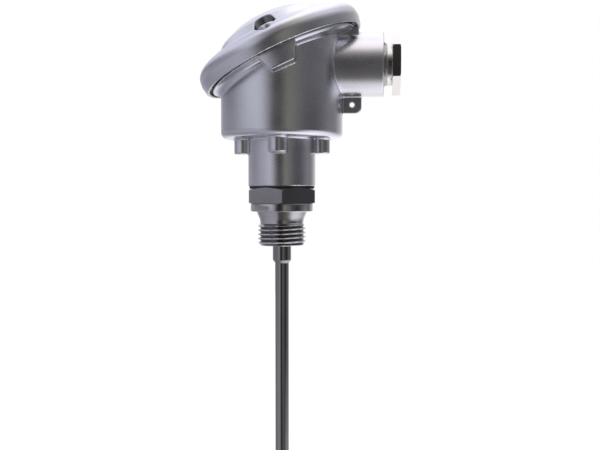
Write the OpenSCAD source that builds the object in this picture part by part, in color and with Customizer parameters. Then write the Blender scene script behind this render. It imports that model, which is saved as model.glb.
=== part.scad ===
// Resistance thermometer with a cast terminal head, a screw-in fitting and a stepped protection tube.
// Millimetres. Z runs up the tube; z = 0 is half way along the process thread.

/* [Head casting] */
// outside radius of the head's round wall
head_r = 26.1; // [25.8:0.1:26.4]
// height of the head's floor underside over the collar face
head_base_z = 31.2; // [31:0.1:31.6]
// radius of the blend between wall and base
head_base_blend = 2.6; // [2.2:0.1:3.6]
// inside radius of the terminal space
room_r = 22.6; // [22.4:0.1:22.7]
// height of the terminal space's floor over the collar face
room_floor_z = 34.6; // [34.4:0.1:34.8]
// outside radius of the neck that takes the fitting
neck_r = 14.45; // [14.2:0.05:14.7]
// radius of the tilted flange under the lid
flange_r = 33.4; // [33.2:0.1:33.6]
// thickness of the tilted flange
flange_t = 3.4; // [3.2:0.1:3.6]
// tilt of flange and lid, in degrees
tilt = 24.3; // [24:0.1:24.6]
// radius of the round bosses under the floor
foot_r = 4.2; // [4:0.1:4.4]
// spacing of the insert's two screws, and of the round bosses
insert_pitch = 33; // [32.8:0.1:33.2]

/* [Cable entry] */
// outside radius of the cable entry
entry_r = 13.65; // [13.5:0.05:13.8]
// distance of the entry's face from the tube's axis
entry_x = 43.5; // [43.3:0.1:43.7]
// height of the entry's axis over the collar face
entry_z = 62.4; // [62.2:0.1:62.6]
// across-flats size of the pressure screw's head
gland_af = 22.6; // [22.4:0.1:22.8]
// radius of the hole through the rubber seal
gland_hole_r = 4; // [3.5:0.1:4.5]

/* [Lid] */
// radius of the lid's rim
lid_r = 36.8; // [36.6:0.1:37]
// radius of the circle the two lid screws stand on
lid_screw_pcr = 26.2; // [26:0.1:26.4]
// radius of the pocket around each lid screw
pocket_r = 4.4; // [4.3:0.1:4.7]
// how far each pocket runs out towards the rim
pocket_run = 4.7; // [3:0.1:4.8]

/* [Process connection] */
// across-flats size of the fitting's hexagon
fitting_af = 28; // [27.6:0.1:28.4]
// radius of the sealing collar
collar_r = 13.5; // [13.4:0.05:13.6]
// radius over the crests of the process thread
thread_r = 10.4775; // [10.45:0.0025:10.48]

/* [Tube and insert] */
// outside radius of the tube's upper part
tube_top_r = 4; // [3.9:0.05:4]
// outside radius of the tube's long lower part
tube_r = 3; // [2.9:0.05:3.1]
// length of the tube below the collar face
insertion = 160; // [120:5:250]
// radius of the measuring insert's sheath
sheath_r = 1.5; // [1.4:0.05:1.55]

/* [Hidden] */
$fn = 96;

datum = 9.8;              // the collar face lies this far over the row's origin
lid_x = 1.1;              // where the lid's axis crosses the plane of its lower edge
lid_z = 64.3;
flange_top = 1.2;         // lid frame: top of the flange over the lid's lower edge
gasket_t = 1.5;
land = flange_top + gasket_t;
pocket_floor = 7.4;
screw_top = 10.8;
ground = [-13.5, 13.5, 0]; // the ground screw's axis
eps = 0.01;

cast = [0.72, 0.72, 0.78];
steel = [0.66, 0.65, 0.64];
plate = [0.78, 0.77, 0.74];
rubber = [0.08, 0.08, 0.09];
brass = [0.8, 0.65, 0.35];
white = [0.93, 0.92, 0.88];

function unit(v) = v / norm(v);
function turn(i, n) = (i + n) % n;
function tilt_of(v) = atan2(v[1], v[0]);
function swing(a, b) = (b - a + 540) % 360 - 180;

// The points of one rounded corner c between its neighbours p and n.
function corner_points(p, c, n, r, steps) =
  let (
    a = unit(p - c), b = unit(n - c), half = acos(a * b) / 2,
    centre = c + unit(a + b) * r / sin(half),
    from = tilt_of(c + a * r / tan(half) - centre),
    sweep = swing(from, tilt_of(c + b * r / tan(half) - centre))
  )
  [for (k = [0:steps]) centre + r * [cos(from + sweep * k / steps), sin(from + sweep * k / steps)]];

// A closed profile of rows [x, y, corner radius].
module rounded(rows, steps = 6) {
  n = len(rows);
  p = [for (q = rows) [q[0], q[1]]];
  polygon([for (i = [0:n - 1]) each (
    rows[i][2] > 0
      ? corner_points(p[turn(i - 1, n)], p[i], p[turn(i + 1, n)], rows[i][2], steps)
      : [p[i]]
  )]);
}

// Frames: collar face upright, lid frame, cable entry frame (its Z points out of the entry).
module upright() {
  translate([0, 0, datum]) children();
}

module lid_frame() {
  translate([lid_x, 0, lid_z + datum]) rotate([0, -tilt, 0]) children();
}

module entry_frame() {
  translate([0, 0, entry_z + datum]) rotate([0, 90, 0]) children();
}

module at_ground() {
  upright() translate(ground) children();
}

module disc(r, z0, z1) {
  translate([0, 0, z0]) cylinder(r = r, h = z1 - z0);
}

module ring(r_out, r_in, z0, z1) {
  difference() {
    disc(r_out, z0, z1);
    disc(r_in, z0 - 1, z1 + 1);
  }
}

module lid() {
  color(cast) lid_frame() difference() {
    union() {
      difference() {
        rotate_extrude() rounded([
          [0, 0, 0], [35.9, 0, 0.4], [lid_r, 3.8, 6], [lid_r - 0.3, 9, 4.4], [24.4, 11.8, 2.2],
          [21.8, 15.2, 4.5], [13.5, 19.3, 14], [0, 21.2, 0]
        ]);
        rotate_extrude() rounded([
          [0, -1, 0], [34.9, -1, 0], [34.6, land, 0.3], [30.6, land, 0], [30.6, 7.2, 1.5],
          [21.8, 9, 1.5], [19.2, 12.9, 4], [12.6, 16.4, 10], [0, 18, 0]
        ]);
      }
      intersection() {
        rotate_extrude() rounded([
          [0, 6, 0], [33, 6, 0], [33, 9, 0], [24.2, 11, 0], [21, 15, 0], [0, 19, 0]
        ]);
        for (s = [-1, 1]) translate([0, s * lid_screw_pcr, 0]) disc(6.3, 6, 17);
      }
    }
    for (s = [-1, 1]) translate([0, s * lid_screw_pcr, 0]) {
      disc(pocket_r, pocket_floor, 25);
      translate([0, s * pocket_run, 0]) disc(pocket_r, pocket_floor, 25);
      translate([0, s * pocket_run / 2, pocket_floor + 9]) cube([2 * pocket_r, pocket_run, 18], center = true);
      disc(2.3, 0, 12);
    }
  }
}

module slotted_screw(head_r, head_z, top_z, shank_r, end_z, slot) {
  difference() {
    union() {
      translate([0, 0, 0]) rotate_extrude() rounded([
        [0, head_z, 0], [head_r, head_z, 0.15], [head_r, top_z, 0.4], [0, top_z, 0]
      ], 3);
      rotate_extrude() rounded([
        [0, end_z, 0], [shank_r - 0.4, end_z, 0], [shank_r, end_z + 0.5, 0], [shank_r, head_z + 0.2, 0],
        [0, head_z + 0.2, 0]
      ]);
    }
    translate([-head_r - 1, -slot / 2, top_z - 1.3]) cube([2 * head_r + 2, slot, 3]);
  }
}

module head_body() {
  color(cast) difference() {
    union() {
      difference() {
        union() {
          intersection() {
            upright() rotate_extrude() rounded([
              [0, 10.8, 0], [neck_r, 10.8, 0.4], [neck_r, head_base_z, 0.8],
              [head_r, head_base_z, head_base_blend], [head_r, 82, 0], [0, 82, 0]
            ]);
            lid_frame() disc(70, -90, 0);
          }
          lid_frame() rotate_extrude() rounded([
            [0, flange_top - flange_t, 0], [flange_r, flange_top - flange_t, 1.8],
            [flange_r, flange_top, 0.4], [0, flange_top, 0]
          ], 4);
          for (s = [0, 1]) lid_frame() mirror([0, s, 0]) lid_screw_boss();
          for (a = [0, 90, 180, 270]) upright() rotate([0, 0, a]) translate([insert_pitch / 2, 0, 0])
            rotate_extrude() rounded([
              [0, 24.6, 0], [foot_r, 24.6, 0.9], [foot_r, 33, 0], [0, 33, 0]
            ], 4);
          entry_frame() rotate_extrude() rounded([
            [0, 15, 0], [entry_r, 15, 0], [entry_r, entry_x, 0.6], [0, entry_x, 0]
          ], 4);
          seal_lug();
          entry_web();
        }
        upright() rotate_extrude() rounded([
          [0, room_floor_z, 0], [room_r, room_floor_z, 1.4], [room_r, 95, 0], [0, 95, 0]
        ], 4);
      }
      at_ground() disc(3.1, 33, 44);
    }
    upright() disc(11.9, 9, 25.2);
    upright() disc(8.5, 20, 40);
    entry_frame() disc(10, 27.5, 60);
    entry_frame() disc(8, 10, 30);
    entry_frame() translate([0, 0, entry_x - 0.8]) cylinder(r1 = 9.9, r2 = 10.9, h = 1);
    lid_frame() for (s = [-1, 1]) translate([0, s * lid_screw_pcr, 0]) disc(2.05, -4.6, 3);
    for (s = [-1, 1]) upright() translate([s * insert_pitch / 2, 0, 0]) disc(2.05, 26, 40);
    at_ground() disc(1.55, 37, 50);
  }
}

// The wedge under the flange that takes a lid screw, on the near side.
module lid_screw_boss() {
  intersection() {
    translate([0, -20, 0]) rotate([90, 0, 0]) linear_extrude(16) rounded([
      [8.2, 0, 0], [-8.2, 0, 0], [-4.9, -7.2, 0.6], [4.9, -7.2, 0.6]
    ], 4);
    disc(flange_r, -12, 0.8);
  }
}

module seal_lug() {
  upright() translate([0, 1.2, 0]) rotate([90, 0, 0]) linear_extrude(2.4) difference() {
    rounded([[22, 50.5, 0], [22, 41.8, 0], [34.2, 41.8, 2.6], [34.2, 49.4, 0.8], [33, 50.5, 0]]);
    translate([30.2, 45.5]) circle(r = 1.05);
  }
}

// The block that joins the flange to the top of the cable entry.
module entry_web() {
  intersection() {
    upright() translate([0, 8.5, 0]) rotate([90, 0, 0]) linear_extrude(17) rounded([
      [20, 60, 0], [33.1, 60, 0], [33.1, 80, 0], [20, 80, 0]
    ]);
    lid_frame() disc(60, -40, -0.7);
  }
}

module neck_seal() {
  color(rubber) upright() ring(14.1, 12.1, 10.2, 10.8);
}

module process_fitting() {
  color(steel) upright() difference() {
    union() {
      rotate_extrude() rounded([
        [0, -14.6, 0], [9.4, -14.6, 0], [thread_r, -13.6, 0], [thread_r, -6.1, 0], [9.4, -5.2, 0],
        [9.4, -4.6, 0], [9.55, -3.7, 0], [9.8, -2.85, 0], [10.17, -2, 0], [10.54, -1.15, 0],
        [10.85, -0.3, 0], [11, 0, 0], [collar_r, 0, 0.3], [collar_r, 3.4, 0.3], [13, 3.4, 0],
        [13, 10.2, 0], [11.85, 10.2, 0], [11.85, 23.6, 0], [11.4, 24, 0], [0, 24, 0]
      ], 3);
      intersection() {
        rotate([0, 0, 36.3]) translate([0, 0, 3.4]) cylinder(r = fitting_af / sqrt(3), h = 6.8, $fn = 6);
        rotate_extrude() rounded([
          [0, 3.4, 0], [15.4, 3.4, 0], [16.4, 4, 0], [16.4, 8.9, 0], [13.8, 10.2, 0], [0, 10.2, 0]
        ]);
      }
    }
    disc(4.05, -20, 30);
    disc(9, 20.5, 30);
  }
}

module protection_tube() {
  color(steel) upright() rotate_extrude() rounded([
    [0, -insertion, 0], [tube_r, -insertion, 1.2], [tube_r, -22.3, 0], [tube_top_r, -21, 0],
    [tube_top_r, 20, 0], [1.75, 20, 0], [1.75, -insertion + 2.5, 0], [0, -insertion + 2.5, 0]
  ], 4);
}

module lid_gasket() {
  color(rubber) lid_frame() ring(32.9, 31, flange_top + 0.02, land);
}

// What rides up with a lid screw, and the screw itself; s is -1 on the near side.
module screw_washer(s) {
  color(plate) lid_frame() translate([0, s * lid_screw_pcr, 0])
    ring(4.1, 2.2, pocket_floor + 0.02, pocket_floor + 0.6);
}

module screw_clip(s) {
  color(rubber) lid_frame() translate([0, s * lid_screw_pcr, 0]) ring(3.4, 2.06, 1.3, 1.9);
}

module lid_screw(s) {
  color(plate) lid_frame() translate([0, s * lid_screw_pcr, 0])
    slotted_screw(3.8, pocket_floor + 0.64, screw_top, 2, -2.5, 1.1);
}

module near_washer() { screw_washer(-1); }
module far_washer() { screw_washer(1); }
module near_clip() { screw_clip(-1); }
module far_clip() { screw_clip(1); }
module near_screw() { lid_screw(-1); }
module far_screw() { lid_screw(1); }

module gland_seat() {
  color(plate) entry_frame() ring(9.7, 6.5, 27.55, 28.35);
}

module gland_seal() {
  color(rubber) entry_frame() ring(9.7, gland_hole_r, 28.4, 34);
}

module gland_washer() {
  color(plate) entry_frame() ring(9.6, 6.5, 35.6, 36.4);
}

module pressure_screw() {
  color(plate) entry_frame() difference() {
    union() {
      rotate_extrude() rounded([
        [0, 36.45, 0], [9.2, 36.45, 0], [9.95, 37.2, 0], [9.95, 44.4, 0], [9.1, 44.9, 0.2],
        [9.1, 48, 0], [0, 48, 0]
      ], 3);
      intersection() {
        rotate([0, 0, 0]) translate([0, 0, 47]) cylinder(r = gland_af / sqrt(3), h = 3.5, $fn = 6);
        rotate_extrude() rounded([
          [0, 47, 0], [12.4, 47, 0], [13.2, 47.3, 0], [13.2, 50.1, 0], [12.4, 50.5, 0], [0, 50.5, 0]
        ]);
      }
    }
    disc(6, 30, 60);
    translate([0, 0, 49.4]) cylinder(r1 = 5.9, r2 = 7.5, h = 1.6);
  }
}

module insert_flange() {
  color(plate) upright() difference() {
    disc(20.8, 34.7, 35.9);
    disc(sheath_r, 30, 40);
    for (s = [-1, 1]) translate([s * insert_pitch / 2, 0, 0]) disc(2.35, 30, 40);
    translate(ground) disc(3.7, 30, 40);
  }
}

module insert_sheath() {
  color(steel) upright() difference() {
    rotate_extrude() rounded([
      [0, -insertion + 2.6, 0], [sheath_r, -insertion + 2.6, 0.5], [sheath_r, 38.6, 0.3], [0, 38.6, 0]
    ], 3);
    disc(1, -insertion + 4, -insertion + 24);
  }
}

module sensor_element() {
  color(white) upright() disc(0.85, -insertion + 4.3, -insertion + 20);
}

module terminal_block() {
  color(white) upright() difference() {
    rotate_extrude() rounded([
      [0, 35.95, 0], [17.2, 35.95, 0.5], [17.2, 45, 1], [0, 45, 0]
    ], 4);
    disc(1.7, 30, 39);
    disc(3.2, 38.8, 50);
    for (s = [-1, 1]) translate([s * insert_pitch / 2, 0, 0]) disc(4.5, 30, 50);
    translate(ground) disc(4.2, 30, 50);
    for (i = [1:4]) at_terminal(i) disc(3.25, 37.9, 50);
  }
}

module at_terminal(i) {
  rotate([0, 0, 90 * i - 45]) translate([10.6, 0, 0]) children();
}

module terminal(i) {
  color(brass) upright() at_terminal(i) difference() {
    disc(3.2, 38, 49.2);
    disc(1.55, 42, 60);
    translate([-6, 0, 46.5]) rotate([0, 90, 0]) cylinder(r = 1.1, h = 12);
  }
}

module clamp_screw(i) {
  color(plate) upright() at_terminal(i) slotted_screw(2.6, 49.3, 51.3, 1.5, 47.7, 0.7);
}

module terminal_1() { terminal(1); }
module terminal_2() { terminal(2); }
module terminal_3() { terminal(3); }
module terminal_4() { terminal(4); }
module clamp_screw_1() { clamp_screw(1); }
module clamp_screw_2() { clamp_screw(2); }
module clamp_screw_3() { clamp_screw(3); }
module clamp_screw_4() { clamp_screw(4); }

module insert_screw(s) {
  color(plate) upright() translate([s * insert_pitch / 2, 0, 0])
    slotted_screw(3.5, 47, 49.6, 2, 26.4, 1);
}

module insert_spring(s) {
  coils = 6;
  pitch = 10.9 / coils;
  color(steel) upright() translate([s * insert_pitch / 2, 0, 36]) rotate_extrude() polygon(concat(
    [[2.5, 0]],
    [for (k = [0:coils - 1]) each [[2.9, pitch * k], [3.3, pitch * (k + 0.5)]]],
    [[2.9, 10.9], [2.5, 10.9]]
  ));
}

module insert_screw_left() { insert_screw(-1); }
module insert_screw_right() { insert_screw(1); }
module insert_spring_left() { insert_spring(-1); }
module insert_spring_right() { insert_spring(1); }

module ground_washer() {
  color(plate) at_ground() ring(3, 1.7, 44.02, 44.8);
}

module ground_screw() {
  color(brass) at_ground() slotted_screw(2.7, 44.85, 46.9, 1.5, 38, 0.8);
}

head_body();
neck_seal();
process_fitting();
protection_tube();
lid();
lid_gasket();
near_washer();
near_clip();
near_screw();
far_washer();
far_clip();
far_screw();
gland_seat();
gland_seal();
gland_washer();
pressure_screw();
insert_flange();
insert_sheath();
terminal_block();
sensor_element();
terminal_1();
terminal_2();
terminal_3();
terminal_4();
clamp_screw_1();
clamp_screw_2();
clamp_screw_3();
clamp_screw_4();
insert_screw_left();
insert_screw_right();
insert_spring_left();
insert_spring_right();
ground_screw();
ground_washer();
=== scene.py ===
import logging
import math
from dataclasses import dataclass, field
from enum import Enum
from typing import Any, Callable, Sequence

import bmesh
import bpy
import numpy as np
import openvdb
from mathutils import Matrix, Vector


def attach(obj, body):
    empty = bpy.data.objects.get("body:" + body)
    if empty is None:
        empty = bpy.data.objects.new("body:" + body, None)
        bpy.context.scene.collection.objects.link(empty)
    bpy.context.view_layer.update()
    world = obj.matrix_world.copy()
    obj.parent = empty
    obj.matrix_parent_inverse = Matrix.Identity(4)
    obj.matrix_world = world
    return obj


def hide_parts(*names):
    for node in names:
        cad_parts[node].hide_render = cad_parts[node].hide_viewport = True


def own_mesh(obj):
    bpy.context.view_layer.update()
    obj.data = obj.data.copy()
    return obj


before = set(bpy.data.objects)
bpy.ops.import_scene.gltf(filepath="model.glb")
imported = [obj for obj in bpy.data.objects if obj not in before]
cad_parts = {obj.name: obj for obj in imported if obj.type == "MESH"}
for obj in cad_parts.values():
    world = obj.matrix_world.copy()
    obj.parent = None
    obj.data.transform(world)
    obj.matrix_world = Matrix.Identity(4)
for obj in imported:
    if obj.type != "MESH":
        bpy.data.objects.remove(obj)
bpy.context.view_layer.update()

LOG = logging.getLogger("thermometer")
MM = 0.001
# In millimetres: the collar's face over the origin, the lid's middle, the entry's axis,
# and how far the lid's, the insert's and the earth screws stand from theirs.
COLLAR = 9.8
LID_SHIFT, LID_RISE, LID_TILT = 1.1, 64.3, 24.3
ENTRY_RISE = 62.4
LID_SCREW, INSERT_SCREW, EARTH_SCREW = 26.2, 16.5, 13.5

Row = tuple[float, float, float]
Array = np.ndarray
Distance = Callable[[Array], Array]
Spots = tuple[Array, Array, Array]
Socket = bpy.types.NodeSocket
Thing = bpy.types.Object

UPRIGHT = Matrix.Translation((0, 0, COLLAR))
LID = Matrix.Translation((LID_SHIFT, 0, LID_RISE + COLLAR)) @ Matrix.Rotation(
    math.radians(-LID_TILT), 4, "Y")
ENTRY = Matrix.Translation((0, 0, ENTRY_RISE + COLLAR)) @ Matrix.Rotation(math.radians(90), 4, "Y")


# ---------------------------------------------------------------- finishes


class Graph:
    """A node tree that is wired by short calls."""

    def __init__(self, tree: bpy.types.NodeTree) -> None:
        """Empties the tree.

        Args:
            tree: the node tree of a material or of the world.
        """
        self.tree = tree
        tree.nodes.clear()

    def node(
        self, kind: str, inputs: dict[Any, Any] | None = None, **settings: Any,
    ) -> bpy.types.Node:
        """Adds a node.

        Args:
            kind: Blender's name of the node type.
            inputs: values or sockets for the node's inputs, by name or place.
            settings: values for the node's own settings.

        Returns:
            The new node.
        """
        made = self.tree.nodes.new(kind)
        for key, value in settings.items():
            setattr(made, key, value)
        for key, value in (inputs or {}).items():
            if isinstance(value, bpy.types.NodeSocket):
                self.tree.links.new(value, made.inputs[key])
            else:
                made.inputs[key].default_value = value
        return made

    def math(self, operation: str, *values: Any) -> Socket:
        """Works out one sum.

        Args:
            operation: the Math node's operation.
            values: numbers or sockets.

        Returns:
            The socket that carries the result.
        """
        return self.node("ShaderNodeMath", dict(enumerate(values)), operation=operation).outputs[0]

    def length(self, across: Any, along: Any) -> Socket:
        """The length of a line that goes so far across and so far along."""
        squares = [self.math("MULTIPLY", part, part) for part in (across, along)]
        return self.math("SQRT", self.math("ADD", *squares))

    def mix(self, share: Any, first: Any, second: Any, **settings: Any) -> Socket:
        """Goes from the first colour to the second by a share."""
        inputs = {0: share, 6: first, 7: second}
        return self.node("ShaderNodeMix", inputs, data_type="RGBA", **settings).outputs[2]

    def spread(
        self, value: Any, low: float, high: float, start: float = 0.0, end: float = 1.0,
    ) -> Socket:
        """Maps a value from start..end to low..high, and stops at the ends."""
        inputs = {0: value, 1: start, 2: end, 3: low, 4: high}
        return self.node("ShaderNodeMapRange", inputs).outputs[0]

    def noise(self, where: Any, scale: float, detail: float = 2.0, rough: float = 0.5) -> Socket:
        """A noise pattern's value at a place."""
        inputs = {"Vector": where, "Scale": scale, "Detail": detail, "Roughness": rough}
        return self.node("ShaderNodeTexNoise", inputs).outputs["Fac"]

    def ramp(
        self, value: Any, stops: Sequence[tuple[float, Sequence[float]]], smooth: bool = True,
    ) -> Socket:
        """Looks a value up in a colour ramp.

        Args:
            value: the socket that is looked up.
            stops: places from 0 to 1, each with a colour.
            smooth: whether the colours ease into each other.

        Returns:
            The colour socket.
        """
        made = self.node("ShaderNodeValToRGB", {0: value})
        made.color_ramp.interpolation = "EASE" if smooth else "LINEAR"
        elements = made.color_ramp.elements
        elements.remove(elements[1])
        elements[0].position, elements[0].color = stops[0][0], (*stops[0][1], 1.0)
        for place, colour in stops[1:]:
            elements.new(place).color = (*colour, 1.0)
        return made.outputs[0]

    def bump(self, height: Any, strength: float, depth: float, normal: Any = None) -> Socket:
        """A normal that is tilted by a height pattern; depth is in metres.

        Args:
            height: the pattern.
            strength: the share of its effect.
            depth: how deep it is, in metres.
            normal: a normal that it adds to.

        Returns:
            The normal.
        """
        inputs = {"Height": height, "Strength": strength, "Distance": depth}
        if normal is not None:
            inputs["Normal"] = normal
        return self.node("ShaderNodeBump", inputs).outputs[0]


@dataclass(frozen=True)
class Finish:
    """How a surface looks; each kind of surface draws its own nodes."""

    name: str
    slot: str
    colour: tuple[float, float, float]
    metallic: float = 1.0
    roughness: float = 0.3
    place: Matrix = field(default_factory=Matrix, compare=False)

    def build(self) -> bpy.types.Material:
        """Makes the material, or finds the one already made.

        Returns:
            The material.
        """
        made = bpy.data.materials.get(self.name)
        if made is None:
            made = bpy.data.materials.new(self.name)
            made.use_nodes = True
            graph = Graph(made.node_tree)
            shader = graph.node("ShaderNodeBsdfPrincipled", {"Metallic": self.metallic})
            self.draw(graph, shader, self.coordinates(graph))
            graph.node("ShaderNodeOutputMaterial", {"Surface": shader.outputs[0]})
        return made

    def coordinates(self, graph: Graph) -> Socket:
        """Object coordinates in millimetres, about the finish's own axis.

        Args:
            graph: the material's nodes.

        Returns:
            The socket of the coordinates.
        """
        where = graph.node("ShaderNodeTexCoord").outputs["Object"]
        back = self.place.inverted()
        turned = graph.node(
            "ShaderNodeMapping",
            {
                "Vector": where, "Location": back.translation,
                "Rotation": back.to_euler("XYZ"), "Scale": (1 / MM,) * 3,
            },
        )
        return turned.outputs[0]

    def draw(self, graph: Graph, shader: bpy.types.Node, where: Any) -> None:
        """Sets colour, roughness and relief on the shader.

        Args:
            graph: the material's nodes.
            shader: the node that is fed.
            where: the coordinates.
        """
        raise NotImplementedError

    def join(self, graph: Graph, shader: bpy.types.Node, **sockets: Any) -> None:
        """Links sockets to the shader's inputs, named with _ for a blank."""
        for key, socket in sockets.items():
            graph.tree.links.new(socket, shader.inputs[key.replace("_", " ")])

    def tint(self, graph: Graph, value: Any, change: float) -> Socket:
        """The finish's colour, made a little darker and lighter by a pattern.

        Args:
            graph: the material's nodes.
            value: the pattern.
            change: the share of the change.

        Returns:
            The colour.
        """
        dark = [c * (1 - change) for c in self.colour]
        light = [min(1.0, c * (1 + change)) for c in self.colour]
        return graph.ramp(value, [(0.3, dark), (0.7, light)])


@dataclass(frozen=True)
class BlastedCasting(Finish):
    """Die-cast metal, blasted to an even satin with a fine grain."""

    grain: float = 0.35

    def draw(self, graph: Graph, shader: bpy.types.Node, where: Any) -> None:
        """Fine blasting pits over the slight waves of a cast skin.

        Args:
            graph: the material's nodes.
            shader: the node that is fed.
            where: the coordinates.
        """
        pits = graph.noise(where, 1 / self.grain, 3.0, 0.6)
        cloud = graph.noise(where, 0.08, 3.0, 0.55)
        waves = graph.noise(where, 0.22, 1.0)
        relief = graph.bump(waves, 0.35, 0.00006)
        relief = graph.bump(pits, 0.12, 0.000012, relief)
        least, most = self.roughness - 0.015, self.roughness + 0.015
        rough = graph.spread(pits, least, most, 0.3, 0.7)
        rough = graph.math("ADD", graph.spread(cloud, -0.02, 0.02, 0.3, 0.7), rough)
        colour = self.shade(graph, self.tint(graph, cloud, 0.03), where)
        self.join(graph, shader, Base_Color=colour, Roughness=rough, Normal=relief)

    def shade(self, graph: Graph, colour: Any, where: Any) -> Socket:
        """Leaves the colour as it is; a casting with painted shade darkens its recesses here."""
        return colour


@dataclass(frozen=True)
class PocketedCasting(BlastedCasting):
    """A casting with painted shade in its two screw pockets and on the inner side of its skirt."""

    circle: float = LID_SCREW
    run: float = 4.7
    pocket: float = 5.05
    pocket_floor: float = 6.5
    shift: float = 0.4
    skirt: float = 35.55
    skirt_top: float = 3.0
    # Share of the casting's colour kept in the painted shade of the pockets and the skirt.
    shade_level: float = 0.3

    def shade(self, graph: Graph, colour: Any, where: Any) -> Socket:
        """Paints shade into both slots and onto the inner side of the skirt, where the lid lies in
        shadow.

        Args:
            graph: the material's nodes.
            colour: the plain colour.
            where: the coordinates.

        Returns:
            The shaded colour.
        """
        parts = graph.node("ShaderNodeSeparateXYZ", {0: where}).outputs
        side = graph.math("ABSOLUTE", parts[1])
        near = graph.math("MAXIMUM", side, self.circle)
        near = graph.math("MINIMUM", near, self.circle + self.run)
        away = graph.math("SUBTRACT", side, near)
        across = graph.math("ADD", parts[0], self.shift)
        far = graph.length(away, across)
        out = graph.length(side, parts[0])
        # Mask of the skirt's inner side, which gets painted shade.
        under = graph.math(
            "MULTIPLY", graph.math("LESS_THAN", out, self.skirt),
            graph.math("LESS_THAN", parts[2], self.skirt_top))
        # Mask of the pocket insides above their floor, which get painted shade.
        inside = graph.math(
            "MULTIPLY", graph.spread(far, 1.0, 0.0, self.pocket, self.pocket + 0.25),
            graph.math("GREATER_THAN", parts[2], self.pocket_floor))
        inside = graph.math("MAXIMUM", inside, graph.math("MULTIPLY", under, 0.85))
        # Painted shade: mixes the colour towards a darker copy of the casting's colour inside the
        # masks.
        return graph.mix(inside, colour, (*[c * self.shade_level for c in self.colour], 1.0))


@dataclass(frozen=True)
class Turned(Finish):
    """Metal from the lathe, with fine rings about its own axis."""

    ring: float = 0.06
    depth: float = 0.0000003
    # A groove radius and a zone of heights paint shade into a thread's roots, in the dark colour of
    # the last field.
    groove: float = 0.0
    zone: tuple[float, float] = (0.0, 0.0)
    root_shade: tuple[float, ...] = (0.05, 0.045, 0.045, 1.0)

    def draw(self, graph: Graph, shader: bpy.types.Node, where: Any) -> None:
        """Rings along the axis and over the faces, with faint smears, and painted shade in the
        roots of a thread where a groove is given.

        Args:
            graph: the material's nodes.
            shader: the node that is fed.
            where: the coordinates.
        """
        parts = graph.node("ShaderNodeSeparateXYZ", {0: where}).outputs
        radius = graph.length(parts[0], parts[1])
        along = graph.node("ShaderNodeCombineXYZ", {0: radius, 1: parts[2], 2: 0.0}).outputs[0]
        rings = graph.noise(along, 1 / self.ring, 2.0, 0.7)
        smears = graph.noise(where, 0.25, 3.0, 0.6)
        rough = graph.spread(smears, self.roughness * 0.85, self.roughness * 1.2, 0.3, 0.7)
        colour = self.tint(graph, smears, 0.02)
        # Painted shade: darkens the thread's roots within the zone, most at the smallest radius.
        if self.groove:
            deep = graph.spread(radius, 0.6, 0.0, self.groove - 0.8, self.groove)
            there = graph.math(
                "MULTIPLY", graph.math("GREATER_THAN", parts[2], self.zone[0]),
                graph.math("LESS_THAN", parts[2], self.zone[1]))
            colour = graph.mix(graph.math("MULTIPLY", deep, there), colour, self.root_shade)
        self.join(
            graph, shader, Base_Color=colour,
            Roughness=rough, Normal=graph.bump(rings, 0.25, self.depth))


@dataclass(frozen=True)
class Plated(Finish):
    """A thin bright plating that lies smooth over pressed or turned metal."""

    def draw(self, graph: Graph, shader: bpy.types.Node, where: Any) -> None:
        """Soft waves under the plating and cloudy gloss.

        Args:
            graph: the material's nodes.
            shader: the node that is fed.
            where: the coordinates.
        """
        waves = graph.noise(where, 1.6, 2.0, 0.5)
        cloud = graph.noise(where, 0.5, 4.0, 0.6)
        rough = graph.spread(cloud, self.roughness * 0.75, self.roughness * 1.35, 0.3, 0.7)
        self.join(
            graph, shader, Base_Color=self.tint(graph, cloud, 0.05),
            Roughness=rough, Normal=graph.bump(waves, 0.3, 0.000012))


@dataclass(frozen=True)
class Matt(Finish):
    """Rubber and fibre, with a dull skin and fine grain."""

    grain: float = 0.25

    def draw(self, graph: Graph, shader: bpy.types.Node, where: Any) -> None:
        """Grain in the skin and a dusty change of tone.

        Args:
            graph: the material's nodes.
            shader: the node that is fed.
            where: the coordinates.
        """
        grain = graph.noise(where, 1 / self.grain, 3.0, 0.6)
        dust = graph.noise(where, 0.35, 4.0, 0.6)
        rough = graph.spread(dust, self.roughness - 0.08, self.roughness + 0.08, 0.3, 0.7)
        self.join(
            graph, shader, Base_Color=self.tint(graph, dust, 0.18),
            Roughness=rough, Normal=graph.bump(grain, 0.4, 0.00003))


@dataclass(frozen=True)
class Glazed(Finish):
    """Pressed ceramic under a thin glaze."""

    def draw(self, graph: Graph, shader: bpy.types.Node, where: Any) -> None:
        """Slow waves of the glaze with small specks.

        Args:
            graph: the material's nodes.
            shader: the node that is fed.
            where: the coordinates.
        """
        waves = graph.noise(where, 0.7, 2.0, 0.5)
        specks = graph.noise(where, 5.0, 2.0, 0.5)
        self.join(
            graph, shader, Base_Color=self.tint(graph, specks, 0.03),
            Roughness=graph.spread(waves, 0.18, 0.32, 0.3, 0.7),
            Normal=graph.bump(waves, 0.3, 0.00004))
        shader.inputs["Coat Weight"].default_value = 0.25


CAST = BlastedCasting("blasted_casting", "cast", (0.755, 0.75, 0.785), roughness=0.28)
# The lid's finish paints shade into its two screw pockets and under its skirt.
LID_CAST = PocketedCasting(
    "blasted_lid_casting", "cast", (0.755, 0.75, 0.785), roughness=0.28, place=LID)
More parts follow.
